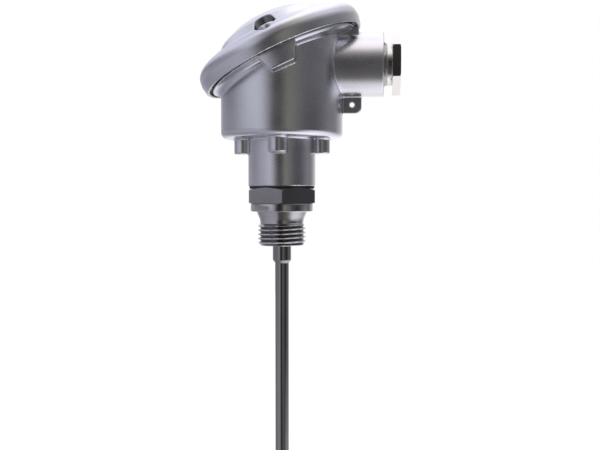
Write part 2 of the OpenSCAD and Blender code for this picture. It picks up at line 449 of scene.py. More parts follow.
# The fitting's steel paints shade into the roots of its thread.
STEEL = Turned(
    "turned_steel", "stainless", (0.6, 0.585, 0.59), roughness=0.1, place=UPRIGHT, ring=0.12,
    groove=10.3, zone=(-14.4, -5.2))
NICKEL = Turned(
    "bright_nickel", "nickel", (0.68, 0.66, 0.64), roughness=0.05, place=ENTRY, ring=0.12)
PROBE = Turned("drawn_steel", "stainless", (0.37, 0.36, 0.36), roughness=0.13, ring=0.12)
SHEATH = Turned("drawn_sheath", "stainless", (0.55, 0.54, 0.53), roughness=0.24, ring=0.3)
RED_SLEEVE = Matt(
    "red_sleeve", "rubber", (0.42, 0.02, 0.018), metallic=0.0, roughness=0.4, grain=0.6)
WHITE_SLEEVE = Matt(
    "white_sleeve", "rubber", (0.75, 0.74, 0.71), metallic=0.0, roughness=0.4, grain=0.6)
ZINC = Plated("bright_zinc", "plated", (0.74, 0.75, 0.77), roughness=0.24)
SPRING = Plated("spring_wire", "spring_steel", (0.60, 0.60, 0.60), roughness=0.28)
BRASS = Plated("machined_brass", "brass", (0.83, 0.66, 0.36), roughness=0.22)
RUBBER = Matt("black_rubber", "rubber", (0.028, 0.028, 0.030), metallic=0.0, roughness=0.62)
FIBRE = Matt("dark_seal", "seal", (0.05, 0.048, 0.05), metallic=0.0, roughness=0.7)
CERAMIC = Glazed("glazed_ceramic", "ceramic", (0.86, 0.84, 0.78), metallic=0.0)


# ---------------------------------------------------------------- studio


@dataclass(frozen=True)
class Ring:
    """One ring of the room at a height in degrees, as pairs of a bearing and a level.

    Bearings are in degrees from the viewer, minus to the left.
    """

    rise: float
    levels: Sequence[tuple[float, float]]


ROOM = (
    Ring(-90, (
        (-180, 1.3), (-160, 0.9), (-140, 0.4), (-45, 0.4), (-20, 1.2), (20, 1.4), (60, 1.4),
        (180, 1.3),
    )),
    Ring(-57, (
        (-180, 1.15), (-155, 0.5), (-140, 0.3), (-90, 0.31), (-60, 0.42), (-30, 0.42), (-20, 0.28),
        (-10, 0.1),
        (25, 0.12), (40, 0.3), (60, 0.75), (85, 1.05), (120, 1.3), (180, 1.2),
    )),
    Ring(-35, (
        (-180, 1.05), (-150, 0.5), (-120, 0.3), (-60, 0.44), (-30, 0.46), (-17, 0.24), (-10, 0.08),
        (10, 0.08),
        (22, 0.15), (42, 0.16), (56, 0.5), (68, 0.9), (95, 1.0), (125, 1.05), (180, 1.0),
    )),
    Ring(-14, (
        (-180, 1.3), (-158, 0.8), (-143, 0.38), (-120, 0.3), (-90, 0.42), (-60, 0.46), (-38, 0.5),
        (-26, 0.42),
        (-15, 0.08), (-5, 0.03), (6, 0.06), (15, 0.22), (24, 0.2), (40, 0.13), (60, 0.05),
        (78, 0.07),
        (95, 0.28), (115, 0.26), (130, 0.26), (145, 0.55), (160, 0.9), (180, 1.3),
    )),
    Ring(0, (
        (-180, 1.3), (-160, 0.55), (-145, 0.42), (-125, 0.42), (-100, 0.3), (-62, 0.24), (-50, 0.2),
        (-35, 0.58), (-24, 0.46), (-15, 0.1), (-6, 0.03), (6, 0.04), (15, 0.3), (25, 0.2),
        (33, 0.2),
        (44, 0.09), (66, 0.045), (86, 0.16), (103, 0.27), (120, 0.16), (140, 0.5), (155, 0.7),
        (180, 1.3),
    )),
    Ring(9, (
        (-180, 1.3), (-160, 0.72), (-140, 0.34), (-120, 0.18), (-95, 0.22), (-75, 0.5), (-54, 0.8),
        (-36, 0.7), (-22, 0.36), (-12, 0.08), (-8, 0.02), (2, 0.02), (8, 0.1), (20, 0.2),
        (35, 0.12),
        (60, 0.09), (85, 0.09), (110, 0.22), (130, 0.26), (145, 0.48), (160, 0.75), (180, 1.2),
    )),
    Ring(25, (
        (-180, 1.1), (-150, 0.8), (-90, 0.84), (-60, 0.8), (-35, 0.6), (-20, 0.32), (-8, 0.12),
        (22, 0.12),
        (50, 0.24), (80, 0.34), (100, 0.22), (130, 0.36), (155, 0.55), (180, 1.2),
    )),
    Ring(40, (
        (-180, 1.35), (-155, 0.95), (-130, 0.76), (-90, 0.8), (-50, 0.95), (-25, 0.75), (-8, 0.4),
        (25, 0.48),
        (60, 0.45), (85, 0.62), (110, 0.6), (140, 0.8), (165, 1.25), (180, 1.35),
    )),
    Ring(55, (
        (-180, 1.4), (-150, 0.95), (-120, 0.72), (-90, 0.65), (-70, 0.72), (-45, 1.0), (-20, 1.2),
        (90, 1.25),
        (150, 1.35), (180, 1.4),
    )),
    Ring(75, ((-180, 1.4), (-140, 0.95), (-80, 0.8), (-40, 1.25), (0, 1.4), (180, 1.4))),
)
WALL_TINT = (
    (-180, (1.0, 0.99, 1.01)), (-150, (0.94, 0.955, 1.1)), (-32, (0.94, 0.955, 1.1)),
    (-18, (0.99, 0.98, 1.04)),
    (-4, (1.05, 0.975, 1.02)), (6, (1.05, 0.985, 1.0)), (13, (1.03, 1.02, 0.9)),
    (22, (1.02, 1.03, 0.88)), (32, (1.01, 1.0, 0.97)),
    (50, (0.97, 0.97, 1.08)), (110, (0.97, 0.975, 1.07)), (160, (1.0, 0.99, 1.01)),
    (180, (1.0, 0.99, 1.01)),
)


@dataclass
class Studio:
    """The floor, the backdrop, the lamps and the camera."""

    floor_z: float = -150.25
    lens: float = 46.41
    eye: tuple[float, float, float] = (36.165, -333.22, 16.19)
    yaw: float = 0.0848
    pitch: float = -0.0367
    floor_lift: float = 0.62
    floor_size: tuple[float, float] = (1.6, 1.17)
    floor_back: float = 0.415
    lamp_at: tuple[float, float, float] = (-260, -260, 520)
    lamp_target: tuple[float, float, float] = (0, 0, 40)
    lamp_size: float = 420
    lamp_glow: float = 1.6

    def build(self) -> None:
        """Sets up everything round the object."""
        self.backdrop()
        self.floor()
        self.lamp()
        self.camera()
        bpy.context.scene.view_settings.view_transform = "Standard"

    def backdrop(self) -> None:
        """A white sweep behind the object and a dim room with soft panels before it."""
        world = bpy.data.worlds.new("studio")
        bpy.context.scene.world = world
        world.use_nodes = True
        graph = Graph(world.node_tree)
        way = graph.node("ShaderNodeTexCoord").outputs["Generated"]
        parts = graph.node("ShaderNodeSeparateXYZ", {0: way}).outputs
        turn = graph.math("ARCTAN2", parts[0], graph.math("MULTIPLY", parts[1], -1.0))
        turn = graph.spread(turn, 0.0, 1.0, -math.pi, math.pi)
        rise = graph.spread(graph.math("ARCSINE", parts[2]), 0.0, 1.0, -math.pi / 2, math.pi / 2)
        room = graph.ramp(turn, [((a + 180) / 360, c) for a, c in WALL_TINT], smooth=False)
        sky: Any = 0.0
        rises = [ring.rise for ring in ROOM]
        for i, ring in enumerate(ROOM):
            stops = [((a + 180) / 360, (v, v, v)) for a, v in ring.levels]
            round_it = graph.ramp(turn, stops, smooth=False)
            below, above = rises[max(i - 1, 0)], rises[min(i + 1, len(rises) - 1)]
            hat = [(below, float(i == 0)), (ring.rise, 1.0), (above, float(i == len(rises) - 1))]
            stops = [((e + 90) / 180, (v, v, v)) for e, v in sorted(set(hat))]
            up_it = graph.ramp(rise, stops, smooth=False)
            sky = graph.math("MULTIPLY_ADD", round_it, up_it, sky)
        room = graph.mix(1.0, room, sky, blend_type="MULTIPLY")
        seen = graph.node("ShaderNodeLightPath").outputs["Is Camera Ray"]
        colour = graph.mix(seen, room, (1, 1, 1, 1))
        shader = graph.node("ShaderNodeBackground", {"Color": colour, "Strength": 1.0})
        graph.node("ShaderNodeOutputWorld", {"Surface": shader.outputs[0]})

    def floor(self) -> None:
        """A plain pale floor, seen from above only, that ends a little way before the object."""
        bm = bmesh.new()
        bmesh.ops.create_grid(bm, x_segments=1, y_segments=1, size=0.5)
        bmesh.ops.scale(bm, vec=(*self.floor_size, 1), verts=bm.verts)
        bmesh.ops.translate(bm, vec=(0, self.floor_back, self.floor_z * MM), verts=bm.verts)
        obj = mesh_object("studio_floor", bm)
        made = bpy.data.materials.new("pale_floor")
        made.use_nodes = True
        graph = Graph(made.node_tree)
        path = graph.node("ShaderNodeLightPath").outputs
        matt = graph.node("ShaderNodeBsdfDiffuse", {"Color": (0.8, 0.8, 0.8, 1)})
        glow = graph.math("MULTIPLY", path["Is Camera Ray"], self.floor_lift)
        lift = graph.node("ShaderNodeEmission", {"Color": (1, 1, 1, 1), "Strength": glow})
        plain = graph.node("ShaderNodeAddShader", {0: matt.outputs[0], 1: lift.outputs[0]})
        below = graph.node("ShaderNodeNewGeometry").outputs["Backfacing"]
        clear = graph.node("ShaderNodeBsdfTransparent")
        sided = graph.node(
            "ShaderNodeMixShader", {0: below, 1: plain.outputs[0], 2: clear.outputs[0]})
        graph.node("ShaderNodeOutputMaterial", {"Surface": sided.outputs[0]})
        obj.visible_glossy = False
        obj.data.materials.append(made)

    def lamp(self) -> None:
        """Hangs one soft box over the viewer's left."""
        light = bpy.data.lights.new("key", "AREA")
        light.shape = "RECTANGLE"
        light.size = light.size_y = self.lamp_size * MM
        light.energy = self.lamp_glow * math.pi * light.size * light.size_y
        obj = bpy.data.objects.new("key", light)
        bpy.context.scene.collection.objects.link(obj)
        obj.location = Vector(self.lamp_at) * MM
        facing = Vector(self.lamp_target) - Vector(self.lamp_at)
        obj.rotation_euler = facing.to_track_quat("-Z", "Y").to_euler()
        obj.visible_camera = False
        obj.visible_glossy = False

    def camera(self) -> None:
        """Stands the camera where the view is taken from."""
        data = bpy.data.cameras.new("camera")
        data.sensor_width, data.lens = 36.0, self.lens
        data.clip_start, data.clip_end = 0.01, 20.0
        obj = bpy.data.objects.new("camera", data)
        bpy.context.scene.collection.objects.link(obj)
        obj.location = Vector(self.eye) * MM
        obj.rotation_euler = (math.pi / 2 + self.pitch, 0.0, self.yaw)
        bpy.context.scene.camera = obj


def mesh_object(name: str, bm: bmesh.types.BMesh) -> Thing:
    """Turns a bmesh into an object of the scene.

    Args:
        name: the object's name.
        bm: the mesh, which is freed.

    Returns:
        The new object.
    """
    mesh = bpy.data.meshes.new(name)
    bm.to_mesh(mesh)
    bm.free()
    obj = bpy.data.objects.new(name, mesh)
    bpy.context.scene.collection.objects.link(obj)
    return obj


# ---------------------------------------------------------------- shaping


def rounded(rows: Sequence[Row], steps: int = 6) -> list[tuple[float, float]]:
    """Rounds the corners of a closed outline.

    Args:
        rows: corners as (across, along, radius).
        steps: how many chords make one rounding.

    Returns:
        The outline's points, in order.
    """
    points: list[tuple[float, float]] = []
    count = len(rows)
    for i, (across, along, radius) in enumerate(rows):
        corner = Vector((across, along))
        if radius <= 0:
            points.append((across, along))
            continue
        back = (Vector(rows[i - 1][:2]) - corner).normalized()
        ahead = (Vector(rows[(i + 1) % count][:2]) - corner).normalized()
        half = back.angle(ahead) / 2
        centre = corner + (back + ahead).normalized() * radius / math.sin(half)
        first = corner + back * radius / math.tan(half) - centre
        last = corner + ahead * radius / math.tan(half) - centre
        sweep = math.atan2(first.cross(last), first.dot(last))
        for step in range(steps + 1):
            spot = centre + Matrix.Rotation(sweep * step / steps, 2) @ first
            points.append((spot.x, spot.y))
    return points


def union(a: Array, b: Array, fillet: float) -> Array:
    """Joins two fields with a concave fillet."""
    near_a, near_b = np.maximum(fillet - a, 0), np.maximum(fillet - b, 0)
    return np.maximum(fillet, np.minimum(a, b)) - np.hypot(near_a, near_b)


def meet(a: Array, b: Array, edge: float) -> Array:
    """Keeps what two fields share, with a rounded edge."""
    near_a, near_b = np.maximum(edge + a, 0), np.maximum(edge + b, 0)
    return np.minimum(-edge, np.maximum(a, b)) + np.hypot(near_a, near_b)


def cut(a: Array, b: Array, edge: float) -> Array:
    """Takes b out of a, with a rounded edge."""
    return meet(a, -b, edge)


def drum(
    radius: float, low: float, high: float, rho: Array, along: Array, edge: float,
) -> Array:
    """The field of a round bar.

    Args:
        radius: the bar's radius.
        low: where it starts along its axis.
        high: where it ends.
        rho: distances from its axis.
        along: places along its axis.
        edge: rounding of its two rims.

    Returns:
        Signed distances to the bar.
    """
    return meet(rho - radius, np.abs(along - (low + high) / 2) - (high - low) / 2, edge)


def seen_from(points: Array, place: Matrix) -> Spots:
    """The points' coordinates in a place's own axes.

    Args:
        points: places in millimetres, one a row.
        place: the axes.

    Returns:
        The three coordinates of every point.
    """
    back = np.array(place.inverted(), np.float32)
    moved = points @ back[:3, :3].T + back[:3, 3]
    return moved[:, 0], moved[:, 1], moved[:, 2]


@dataclass
class Section:
    """A closed outline turned round an axis, as a field looked up on a fine grid."""

    rows: Sequence[Row]
    cell: float = 0.1
    margin: float = 4.0

    def __post_init__(self) -> None:
        """Works out signed distances to the outline on the grid."""
        outline = np.array(rounded(self.rows, 10), np.float64)
        self.low = outline.min(0) - self.margin
        self.shape = np.ceil((outline.max(0) + self.margin - self.low) / self.cell).astype(int) + 1
        counts = np.meshgrid(*[np.arange(n) for n in self.shape], indexing="ij")
        spots = np.stack(counts, -1).reshape(-1, 2) * self.cell + self.low
        nearest = np.full(len(spots), 1e9)
        inside = np.zeros(len(spots), bool)
        for start, end in zip(outline, np.roll(outline, -1, 0)):
            along, off = end - start, spots - start
            share = np.clip(off @ along / max(along @ along, 1e-12), 0, 1)
            if start[0] > 1e-6 or end[0] > 1e-6:
                nearest = np.minimum(nearest, np.hypot(*(off - share[:, None] * along).T))
            rises = (start[1] > spots[:, 1]) != (end[1] > spots[:, 1])
            with np.errstate(divide="ignore", invalid="ignore"):
                crossing = start[0] + (spots[:, 1] - start[1]) * along[0] / along[1]
            inside ^= rises & (spots[:, 0] < crossing)
        self.table = np.where(inside, -nearest, nearest).reshape(self.shape).astype(np.float32)

    def field(self, rho: Array, along: Array) -> Array:
        """Signed distances at places given by radius and height.

        Args:
            rho: distances from the axis.
            along: places along the axis.

        Returns:
            The distances, in millimetres.
        """
        across = np.clip((rho - self.low[0]) / self.cell, 0, self.shape[0] - 1.001)
        up = np.clip((along - self.low[1]) / self.cell, 0, self.shape[1] - 1.001)
        i, j = across.astype(int), up.astype(int)
        s, t = across - i, up - j
        low = self.table[i, j] * (1 - s) + self.table[i + 1, j] * s
        high = self.table[i, j + 1] * (1 - s) + self.table[i + 1, j + 1] * s
        return low * (1 - t) + high * t


@dataclass
class Mould:
    """Casts a field into a closed mesh of small even faces."""

    low: tuple[float, float, float]
    high: tuple[float, float, float]
    cell: float = 0.5

    def cast(self, name: str, distance: Distance) -> Thing:
        """Makes the mesh.

        Args:
            name: the new object's name.
            distance: the field in millimetres, negative in the metal.

        Returns:
            The object, in metres.
        """
        axes = [
            np.arange(a, b + self.cell, self.cell, dtype=np.float32)
            for a, b in zip(self.low, self.high)
        ]
        spots = np.stack(np.meshgrid(*axes, indexing="ij"), -1)
        values = distance(spots.reshape(-1, 3)).reshape(spots.shape[:3])
        reach = 3 * self.cell
        level = openvdb.FloatGrid(reach)
        level.copyFromArray(np.clip(values, -reach, reach).astype(np.float32), tolerance=1e-4)
        points, quads = level.convertToQuads(isovalue=0.0)
        points = points.astype(np.float32) * self.cell + np.array(self.low, np.float32)
        for _ in range(3):
            points -= self.pull(points, distance)
        mesh = bpy.data.meshes.new(name)
        mesh.from_pydata((points * MM).tolist(), [], quads.tolist())
        bm = bmesh.new()
        bm.from_mesh(mesh)
        bmesh.ops.remove_doubles(bm, verts=bm.verts, dist=1e-7)
        bmesh.ops.recalc_face_normals(bm, faces=bm.faces)
        for face in bm.faces:
            face.smooth = True
        bpy.data.meshes.remove(mesh)
        obj = mesh_object(name, bm)
        where = np.empty(len(obj.data.vertices) * 3, np.float32)
        obj.data.vertices.foreach_get("co", where)
        slope = self.slope(where.reshape(-1, 3) / MM, distance)
        slope /= np.maximum(np.linalg.norm(slope, axis=1, keepdims=True), 1e-9)
        obj.data.normals_split_custom_set_from_vertices(slope.tolist())
        return obj

    def slope(self, points: Array, distance: Distance) -> Array:
        """Which way the field rises at each point, and how steeply.

        Args:
            points: places in millimetres, one a row.
            distance: the field.

        Returns:
            One vector a point.
        """
        step = 0.05
        return np.stack([
            (distance(points + shift) - distance(points - shift)) / (2 * step)
            for shift in np.eye(3, dtype=np.float32) * step
        ], -1)

    def pull(self, points: Array, distance: Distance) -> Array:
        """How far each point is from the surface, along the field's slope.

        Args:
            points: places in millimetres, one a row.
            distance: the field.

        Returns:
            One short move a point.
        """
        slope = self.slope(points, distance)
        size = np.maximum((slope ** 2).sum(1), 0.3)
        move = distance(points)[:, None] * slope / size[:, None]
        return np.clip(move, -self.cell / 2, self.cell / 2)


@dataclass
class HeadCasting:
    """The cast head: neck, round wall, slanted flange, screw bosses, cable entry and seal eye."""

    neck: float = 14.45
    neck_foot: float = 10.8
    wall: float = 26.1
    base: float = 31.2
    base_blend: float = 2.6
    room: float = 22.6
    floor: float = 34.6
    flange: float = 33.4
    flange_top: float = 1.2
    flange_thick: float = 2.2
    cove: float = 4.2
    boss: float = 4.0
    boss_circle: float = 16.7
    entry: float = 13.65
    entry_end: float = 43.5
    wedge_wide: float = 8.2
    wedge_narrow: float = 4.9
    wedge_depth: float = 7.2
    post: float = 3.1

    def field(self, points: Array) -> Array:
        """The casting's distance field, in millimetres.

        Args:
            points: places in millimetres, one a row.

        Returns:
            Signed distances, negative in the metal.
        """
        x, y, z = upright = seen_from(points, UPRIGHT)
        u, v, w = tilted = seen_from(points, LID)
        _, _, out = seen_from(points, ENTRY)
        rho, tilt_rho = np.hypot(x, y), np.hypot(u, v)
        entry_rho = np.hypot(y, z - ENTRY_RISE)
        shape = meet(rho - self.wall, self.base - z, self.base_blend)
        shape = meet(shape, w - 0.5, 0.2)
        thick = np.clip(self.flange_thick + (u - 4) * 0.09, 1.5, self.flange_thick)
        edge = np.clip(1.1 + u * 0.2, 0.3, 2.0)
        flange = meet(tilt_rho - self.flange, self.flange_top - thick - w, edge)
        flange = meet(flange, w - self.flange_top, 0.3)
        shape = union(shape, flange, np.clip(0.5 - (u - 2) * 0.13, 0.5, self.cove))
        shape = union(shape, self.wedge(tilted, tilt_rho), 0.25)
        neck = drum(self.neck, self.neck_foot, 33, rho, z, 0.4)
        feet = self.boss_field(np.abs(x), np.abs(y), z)
        shape = union(shape, union(neck, feet, 0.7), 0.9)
        entry = drum(self.entry, 15, self.entry_end, entry_rho, out, 0.5)
        shape = union(shape, entry, 0.7)
        shape = union(shape, self.web(upright, w), 0.4)
        shape = union(shape, self.eye(upright), 0.7)
        return self.hollow(shape, upright, tilted, (rho, entry_rho, out))

    def wedge(self, tilted: Spots, rho: Array) -> Array:
        """The two tapered bosses that take the lid's screws.

        Args:
            tilted: coordinates in the lid's axes.
            rho: distances from the lid's axis.

        Returns:
            Signed distances.
        """
        u, v, w = tilted
        slope = (self.wedge_wide - self.wedge_narrow) / self.wedge_depth
        sides = (np.abs(u) - (self.wedge_wide + w * slope)) / math.hypot(1, slope)
        shape = meet(sides, rho - self.flange, 0.3)
        shape = meet(shape, -self.wedge_depth - w, 0.6)
        return np.maximum(np.maximum(shape, w - 0.5), 20 - np.abs(v))

    def web(self, upright: Spots, w: Array) -> Array:
        """The block between the flange and the top of the cable entry.

        Args:
            upright: coordinates in the upright axes.
            w: heights in the lid's axes.

        Returns:
            Signed distances.
        """
        x, y, z = upright
        block = meet(np.abs(x - 26.55) - 6.55, np.abs(y) - 8.5, 0.4)
        return meet(np.maximum(block, np.abs(z - 70) - 10), w + 0.7, 0.3)

    def boss_field(self, x: Array, y: Array, z: Array) -> Array:
        """The four round bosses under the floor."""
        far, near = np.maximum(x, y), np.minimum(x, y)
        return drum(self.boss, 24.6, 34, np.hypot(far - self.boss_circle, near), z, 0.8)

    def eye(self, upright: Spots) -> Array:
        """The flat lug with the hole for a seal wire.

        Args:
            upright: coordinates in the upright axes.

        Returns:
            Signed distances.
        """
        x, y, z = upright
        across, up = x - 28.1, z - 46.15
        plate = meet(np.abs(across) - 6.1, np.abs(up) - 4.35, 0.6)
        corner = meet(x - 34.2, 41.8 - z, 2.6)
        plate = np.maximum(plate, corner)
        lug = meet(plate, np.abs(y) - 1.2, 0.35)
        return cut(lug, np.hypot(x - 30.2, z - 45.5) - 1.05, 0.15)

    def hollow(self, shape: Array, upright: Spots, tilted: Spots, bores: Spots) -> Array:
        """Takes out the room, the bores and the screw holes.

        Args:
            shape: distances to the solid form.
            upright: coordinates in the upright axes.
            tilted: coordinates in the lid's axes.
            bores: distances from the upright and the entry's axis, and places along the latter.

        Returns:
            Signed distances.
        """
        (x, y, z), (u, v, w), (rho, entry_rho, out) = upright, tilted, bores
        earth = np.hypot(x + EARTH_SCREW, y - EARTH_SCREW)
        room = meet(rho - self.room, self.floor - z, 1.2)
        post = drum(self.post, 33, 44, earth, z, 0.3)
        shape = union(cut(shape, room, 0.5), post, 0.8)
        shape = cut(shape, drum(11.9, 9, 25.2, rho, z, 0.2), 0.4)
        shape = cut(shape, drum(8.5, 20, 40, rho, z, 0.2), 0.4)
        shape = cut(shape, drum(8, 10, 30, entry_rho, out, 0.2), 0.5)
        shape = cut(shape, drum(10, 27.5, 60, entry_rho, out, 0.2), 0.6)
        hole = np.hypot(u, np.abs(v) - LID_SCREW)
        shape = cut(shape, drum(2.05, -4.6, 3, hole, w, 0.2), 0.3)
        hole = np.hypot(np.abs(x) - INSERT_SCREW, y)
        shape = cut(shape, drum(2.05, 26, 40, hole, z, 0.2), 0.3)
        return cut(shape, drum(1.55, 37, 50, earth, z, 0.2), 0.2)

    def build(self) -> Thing:
        """Casts the head."""
        box = (-33.5, -34.5, 19.5), (45.0, 34.5, 93.0)
        return Mould(*box, 0.52).cast("cast_head", self.field)


@dataclass
class LidCasting:
    """The domed lid with its rolled rim and two screw pockets."""

    pocket: float = 5.0
    pocket_run: float = 4.7
    pocket_floor: float = 7.4
    pocket_shift: float = 0.4
    screw_boss: float = 6.3
    screw_bore: float = 2.3

    def __post_init__(self) -> None:
        """Sets out the lid's outline and its hollow."""
        self.outside = Section([
            (0, 0, 0), (35.9, 0, 0.4), (36.8, 3.8, 6), (36.3, 8.9, 4.6), (25.1, 11.85, 2.2),
            (22.6, 15.5, 4.5), (14.0, 19.4, 14), (0, 21.2, 0),
        ])
        self.inside = Section([
            (0, -6, 0), (34.9, -6, 0), (34.6, 2.7, 0.3), (30.6, 2.7, 0), (30.6, 7.2, 1.5),
            (21.8, 9, 1.5), (19.2, 12.9, 4), (12.6, 16.4, 10), (0, 18, 0),
        ])
        self.bosses = Section([
            (0, 6, 0), (33, 6, 0), (33, 9, 0), (24.2, 11, 0), (21, 15, 0), (0, 19, 0),
        ])

    def field(self, points: Array) -> Array:
        """The lid's distance field, in millimetres.

        Args:
            points: places in millimetres, one a row.

        Returns:
            Signed distances, negative in the metal.
        """
        u, v, w = seen_from(points, LID)
        rho = np.hypot(u, v)
        side = np.abs(v) - LID_SCREW
        hole = np.hypot(u, side)
        shell = cut(self.outside.field(rho, w), self.inside.field(rho, w), 0.2)
        post = meet(self.bosses.field(rho, w), hole - self.screw_boss, 0.3)
        shape = union(shell, post, 0.6)
        run = np.clip(side, 0, self.pocket_run)
        slot = np.hypot(u + self.pocket_shift, side - run)
        shape = cut(shape, drum(self.pocket, self.pocket_floor, 26, slot, w, 0.25), 0.35)
        return cut(shape, drum(self.screw_bore, 0, 12, hole, w, 0.1), 0.2)

    def build(self) -> Thing:
        """Casts the lid."""
        return Mould((-41.5, -38.0, 57.0), (36.5, 38.0, 112.0), 0.5).cast("cast_lid", self.field)


class Body(Enum):
    """The moving bodies that pieces ride on."""

    HEAD = "head"
    LID = "lid"
    NEAR_RIDE = "near_screw_ride"
    NEAR_SCREW = "near_screw"
    FAR_RIDE = "far_screw_ride"
    FAR_SCREW = "far_screw"
    GLAND_RIDE = "gland_ride"
    GLAND_SCREW = "gland_screw"
    INSERT = "insert"
    CLAMP_1 = "clamp_1"
    CLAMP_2 = "clamp_2"
    CLAMP_3 = "clamp_3"
    CLAMP_4 = "clamp_4"


def dress(obj: Thing, finish: Finish, body: Body, *stands_for: str) -> Thing:
    """Gives a piece its finish and its place in the assembly.

    Args:
        obj: the piece.
        finish: what it looks like, with a material slot name.
        body: the body it moves with.
        stands_for: the solids it is shown for.

    Returns:
        The same piece.
    """
    obj.data.materials.clear()
    obj.data.materials.append(finish.build())
    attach(obj, body.value)
    if stands_for:
        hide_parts(*stands_for)
    LOG.info("%s: %d faces on %s", obj.name, len(obj.data.polygons), body.value)
    return obj


@dataclass
class Thread:
    """A rounded screw thread on part of a turned outline."""

    crest: float
    root: float
    pitch: float
    low: float
    high: float
    fine: int = 14

    def rows(self) -> list[Row]:
        """Outline rows, close enough together to carry the thread."""
        count = round((self.high - self.low) / self.pitch * self.fine)
        return [
            (self.crest, self.low + (self.high - self.low) * i / count, 0.0)
            for i in range(count + 1)
        ]

    def shape(self, radius: float, angle: float, height: float) -> float:
        """The thread's radius at a place, kept inside the outline's own.

        Args:
            radius: the outline's radius.
            angle: the bearing of the place.
            height: its height.

        Returns:
            The new radius.
        """
        wave = math.cos(2 * math.pi * height / self.pitch - angle)
        full = (self.crest + self.root) / 2 + (self.crest - self.root) / 2 * wave
        ends = min(height - self.low, self.high - height)
        fade = min(1.0, max(0.0, ends / (self.pitch * 0.7)))
        limit = self.root + (self.crest - self.root) * fade
        return min(radius, full, limit)


@dataclass
class Hexagon:
    """Six flats on part of a turned outline, with turned chamfers on the corners."""

    across: float
    turn: float
    low: float
    high: float
    floor: float
    ceiling: float
    reach: float = 16.4
    slope: float = 0.5

    def flat(self, angle: float) -> float:
        """How far out the flats are in a direction."""
        local = (angle - math.radians(self.turn)) % math.radians(60) - math.radians(30)
        return self.across / 2 / math.cos(local)

    def rows(self) -> list[Row]:
        """The outline's two rows, before the flats are cut."""
        return [(self.across, self.low, 0.0), (self.across, self.high, 0.0)]


class Lathe:
    """Turns a closed outline about an axis, then cuts threads and flats in it."""

    def __init__(self, rows: Sequence[Row], segments: int = 96, steps: int = 5) -> None:
        """Spins the outline.

        Args:
            rows: the outline's corners as (radius, height, rounding) in millimetres.
            segments: how many faces go round.
            steps: how many chords make one rounding.
        """
        self.flats: list[tuple[float, float]] = []
        self.bm = bmesh.new()
        corners = [self.bm.verts.new((r, 0, z)) for r, z in rounded(rows, steps)]
        edges = [
            self.bm.edges.new(pair) for pair in zip(corners, corners[1:] + corners[:1])
            if max(abs(v.co.x) for v in pair) > 1e-6
        ]
        used = [v for v in corners if v.link_edges]
        bmesh.ops.spin(
            self.bm, geom=used + edges, cent=(0, 0, 0), axis=(0, 0, 1), angle=math.tau,
            steps=segments, use_merge=True,
        )
        bmesh.ops.remove_doubles(self.bm, verts=self.bm.verts, dist=1e-4)
        bmesh.ops.recalc_face_normals(self.bm, faces=self.bm.faces)

    def thread(self, thread: Thread) -> "Lathe":
        """Cuts a thread where the outline has its rows.

        Args:
            thread: the thread.

        Returns:
            The same lathe.
        """
        for vert in self.bm.verts:
            radius, height = math.hypot(vert.co.x, vert.co.y), vert.co.z
            within = thread.low - 1e-4 <= height <= thread.high + 1e-4
            if within and abs(radius - thread.crest) < 1e-3:
                size = thread.shape(radius, math.atan2(vert.co.y, vert.co.x), height) / radius
                vert.co.x, vert.co.y = vert.co.x * size, vert.co.y * size
        return self

    def hexagon(self, shape: Hexagon) -> "Lathe":
        """Cuts the six flats and leaves the chamfers' curved edges.

        Args:
            shape: the hexagon.

        Returns:
            The same lathe.
        """
        self.flats.append((shape.floor - 0.03, shape.ceiling + 0.1))
        for vert in self.bm.verts:
            radius = math.hypot(vert.co.x, vert.co.y)
            if abs(radius - shape.across) > 1e-3:
                continue
            flat = shape.flat(math.atan2(vert.co.y, vert.co.x))
            vert.co.x, vert.co.y = vert.co.x * flat / radius, vert.co.y * flat / radius
            if abs(vert.co.z - shape.low) < 1e-4:
                vert.co.z = max(shape.floor, shape.low - (shape.reach - flat) * shape.slope)
            else:
                vert.co.z = min(shape.ceiling, shape.high + (shape.reach - flat) * shape.slope)
        return self

    def finish(self, name: str, place: Matrix, edge: float = 0.0) -> Thing:
        """Sets the piece in its place.

        Args:
            name: the object's name.
            place: the piece's own axes in millimetres.
            edge: how far its sharp edges are broken, in millimetres.

        Returns:
            The object, in metres.
        """
        self.bm.edges.index_update()
        creased = {
            line.index for line in self.bm.edges
            if any(all(low <= vert.co.z <= high for vert in line.verts) for low, high in self.flats)
        }
        return settled(name, self.bm, Matrix.Scale(MM, 4) @ place, edge * MM, creased)


# Angles between faces: where an edge is bevelled, and where it is drawn sharp.
BEVELLED, SHARP, CREASED = math.radians(38), math.radians(40), math.radians(14)


def settled(
    name: str, bm: bmesh.types.BMesh, place: Matrix, edge: float,
    creased: set[int] | frozenset[int] = frozenset(),
) -> Thing:
    """Moves a mesh to its place, breaks its sharp edges and smooths the rest.

    Args:
        name: the object's name.
        bm: the mesh, which is freed.
        place: where it goes.
        edge: how far sharp edges are broken, in metres.
        creased: numbers of the edges that stay sharp at small angles too.

    Returns:
        The new object.
    """
    bmesh.ops.transform(bm, matrix=place, verts=bm.verts)
    if edge > 0:
        sharp = [e for e in bm.edges if e.is_manifold and e.calc_face_angle(0) > BEVELLED]
        bmesh.ops.bevel(
            bm, geom=sharp, offset=edge, offset_type="OFFSET", segments=2, profile=0.5,
            affect="EDGES", material=-1, clamp_overlap=True,
        )
    bmesh.ops.recalc_face_normals(bm, faces=bm.faces)
    for face in bm.faces:
        face.smooth = True
    for line in bm.edges:
        line.smooth = line.calc_face_angle(0) < (CREASED if line.index in creased else SHARP)
    return mesh_object(name, bm)


